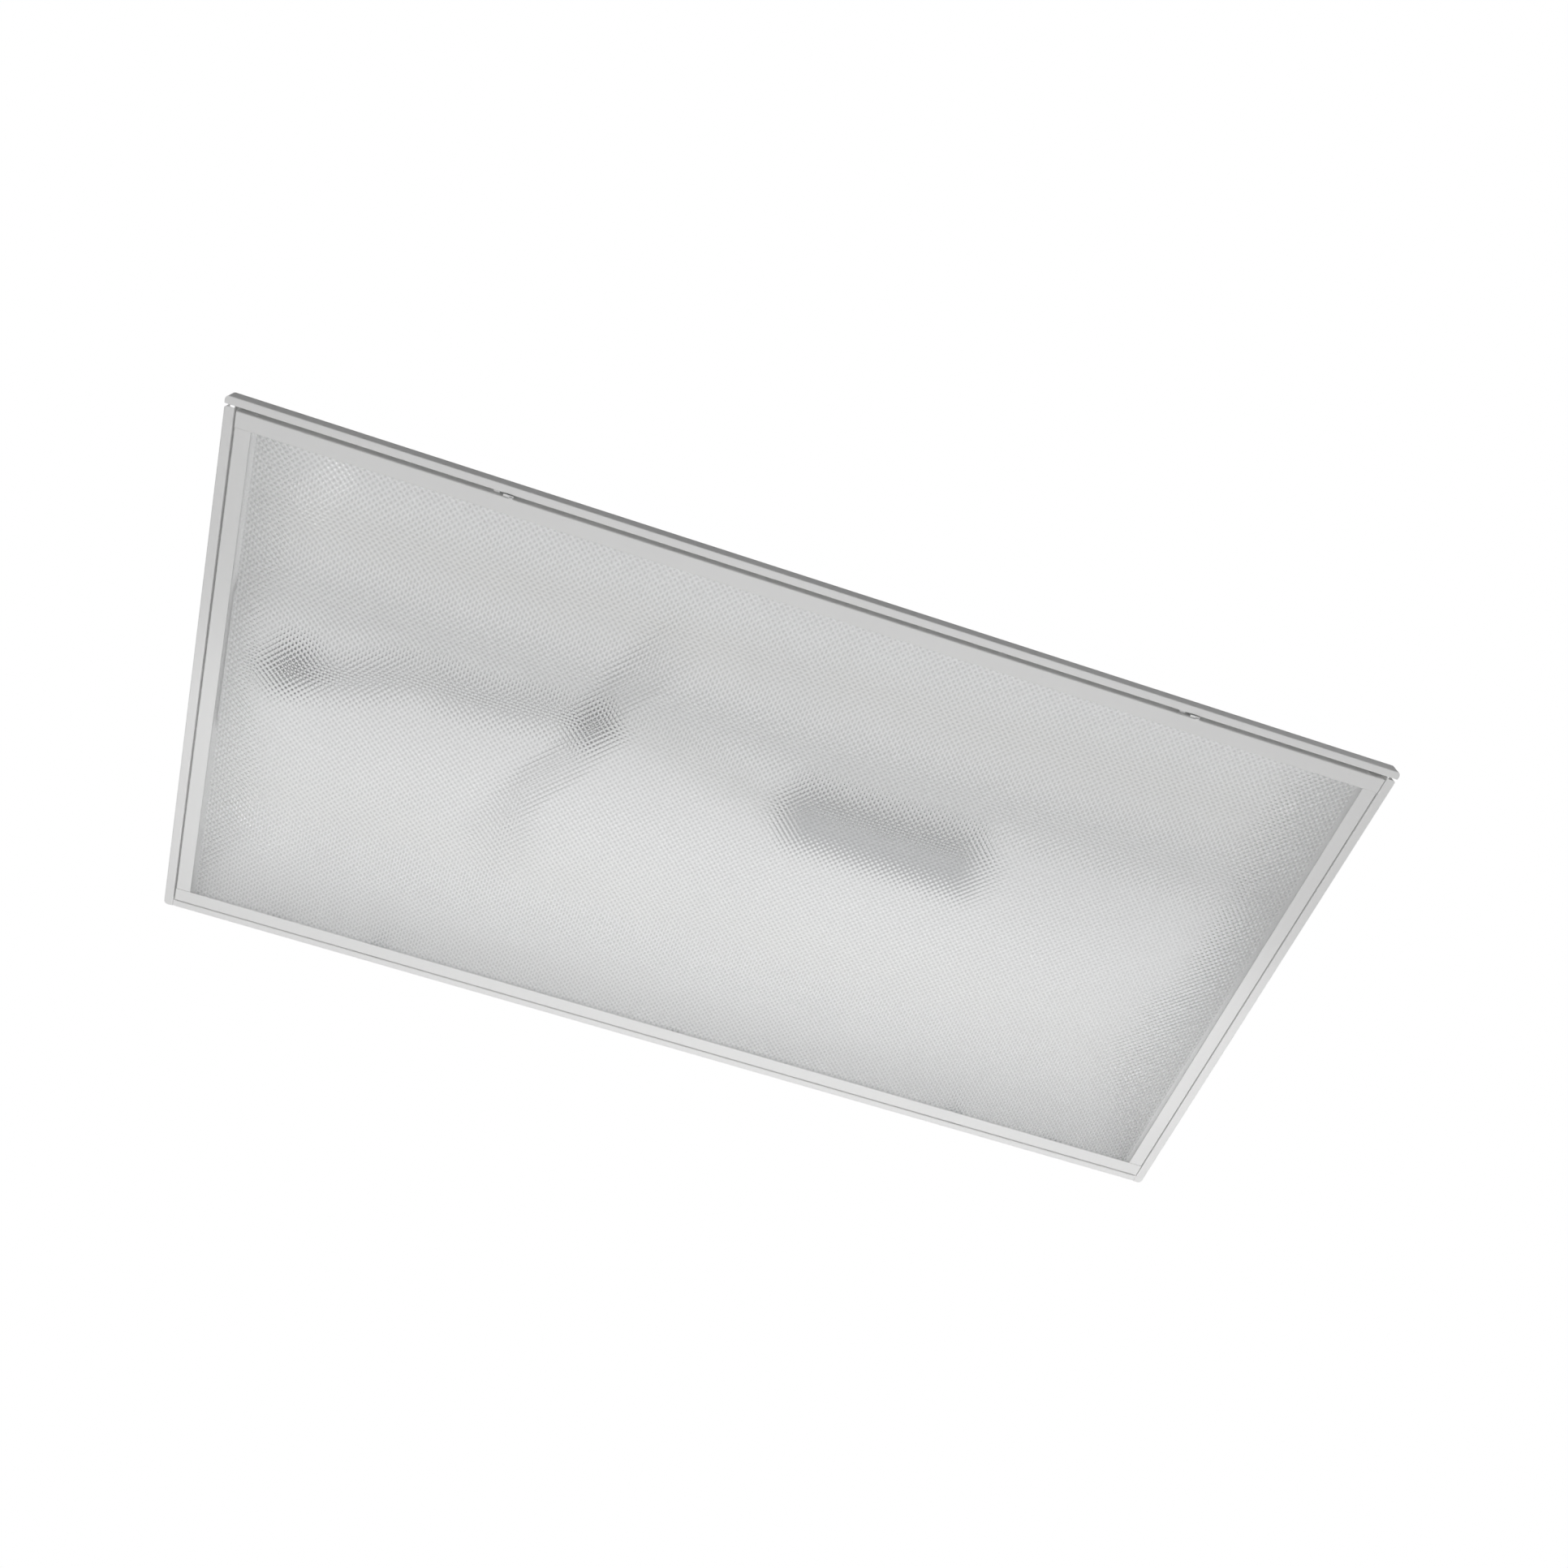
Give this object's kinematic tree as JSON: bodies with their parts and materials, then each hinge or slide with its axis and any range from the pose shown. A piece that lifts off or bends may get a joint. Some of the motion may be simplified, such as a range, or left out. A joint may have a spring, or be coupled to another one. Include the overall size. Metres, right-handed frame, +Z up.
{
  "type": "recessed troffer light",
  "caption": "Recessed ceiling light for a lay-in grid: folded steel housing, hinged door frame with a clear prismatic lens and turn latches, and light boards beside a wiring channel.",
  "frame": {"origin": "centre of the ceiling opening, in the plane of the flange's underside", "axes": "+X along the light, +Y towards the hinged side of the door, +Z up into the ceiling"},
  "size_m": [1.2128, 0.6032, 0.089],
  "materials": {
    "white_enamel": "white baked enamel, satin",
    "lens_acrylic": "clear prismatic acrylic",
    "zinc_steel": "zinc plated",
    "spring_steel": "bright spring steel",
    "driver_grey": "grey enamel, satin",
    "circuit_white": "white solder mask",
    "led_phosphor": "yellow phosphor",
    "connector_white": "moulded nylon",
    "black_sleeve": "black lead sleeve",
    "white_sleeve": "white lead sleeve",
    "black_nylon": "moulded black nylon",
    "circuit_green": "green circuit board",
    "ferrite": "dark ferrite",
    "capacitor_can": "sleeved can",
    "ground_green": "green ground screw"
  },
  "bodies": {
    "housing": {"housing_pan": "white_enamel", "end_plate_left": "white_enamel", "end_plate_right": "white_enamel", "end_plate_rivets": "zinc_steel", "wireway_cover": "white_enamel", "wireway_rails": "white_enamel", "wireway_screws": "zinc_steel", "access_plate": "white_enamel", "access_plate_screws": "zinc_steel", "driver_case": "driver_grey", "driver_base": "driver_grey", "driver_board": "circuit_green", "driver_transformer": "ferrite", "driver_capacitors": "capacitor_can", "driver_terminal": "black_nylon", "driver_bushing": "black_nylon", "driver_screws": "zinc_steel", "led_board_near_left": "circuit_white", "led_board_near_right": "circuit_white", "led_board_far_left": "circuit_white", "led_board_far_right": "circuit_white", "led_packages_near_left": "led_phosphor", "led_packages_near_right": "led_phosphor", "led_packages_far_left": "led_phosphor", "led_packages_far_right": "led_phosphor", "led_board_screws": "zinc_steel", "led_connectors": "connector_white", "supply_disconnect": "black_nylon", "lead_splice": "black_nylon", "supply_cable": "black_sleeve", "driver_lead": "white_sleeve", "led_lead_near": "black_sleeve", "led_lead_far": "black_sleeve", "led_jumpers": "white_sleeve", "cable_clips": "connector_white", "ground_screw": "ground_green", "hinge_strap_left": "zinc_steel", "hinge_strap_right": "zinc_steel", "hinge_pins": "zinc_steel", "hinge_strap_rivets": "zinc_steel", "latch_keepers": "white_enamel", "grid_clip_brackets": "zinc_steel", "grid_clip_pins": "zinc_steel", "grid_clip_rivets": "zinc_steel"},
    "door": {"door_rail_near": "white_enamel", "door_rail_far": "white_enamel", "door_rail_left": "white_enamel", "door_rail_right": "white_enamel", "door_corner_keys": "zinc_steel", "door_corner_rivets": "white_enamel", "prismatic_lens": "lens_acrylic", "lens_clips": "spring_steel", "hinge_ears": "zinc_steel", "latch_rivets": "zinc_steel"},
    "latch_left": {"latch_left": "white_enamel"},
    "latch_right": {"latch_right": "white_enamel"},
    "grid_clip_near_left": {"grid_clip_near_left": "zinc_steel"},
    "grid_clip_near_right": {"grid_clip_near_right": "zinc_steel"},
    "grid_clip_far_left": {"grid_clip_far_left": "zinc_steel"},
    "grid_clip_far_right": {"grid_clip_far_right": "zinc_steel"}
  },
  "joints": [
    {"name": "door_swing", "type": "hinge", "parent": "housing", "child": "door", "pos_m": [0, 0.284, 0.0025], "axis": [1, 0, 0], "range_deg": [0, 100]},
    {"name": "latch_left_turn", "type": "hinge", "parent": "door", "child": "latch_left", "pos_m": [-0.33, -0.2909, 0.004], "axis": [0, -1, 0], "range_deg": [0, 60]},
    {"name": "latch_right_turn", "type": "hinge", "parent": "door", "child": "latch_right", "pos_m": [0.383, -0.2909, 0.004], "axis": [0, -1, 0], "range_deg": [0, 60]},
    {"name": "grid_clip_near_left_swing", "type": "hinge", "parent": "housing", "child": "grid_clip_near_left", "pos_m": [-0.6022, -0.232, 0.048], "axis": [0, 0, 1], "range_deg": [0, 90]},
    {"name": "grid_clip_near_right_swing", "type": "hinge", "parent": "housing", "child": "grid_clip_near_right", "pos_m": [0.6022, -0.232, 0.048], "axis": [0, 0, -1], "range_deg": [0, 90]},
    {"name": "grid_clip_far_left_swing", "type": "hinge", "parent": "housing", "child": "grid_clip_far_left", "pos_m": [-0.6022, 0.232, 0.048], "axis": [0, 0, -1], "range_deg": [0, 90]},
    {"name": "grid_clip_far_right_swing", "type": "hinge", "parent": "housing", "child": "grid_clip_far_right", "pos_m": [0.6022, 0.232, 0.048], "axis": [0, 0, 1], "range_deg": [0, 90]}
  ]
}
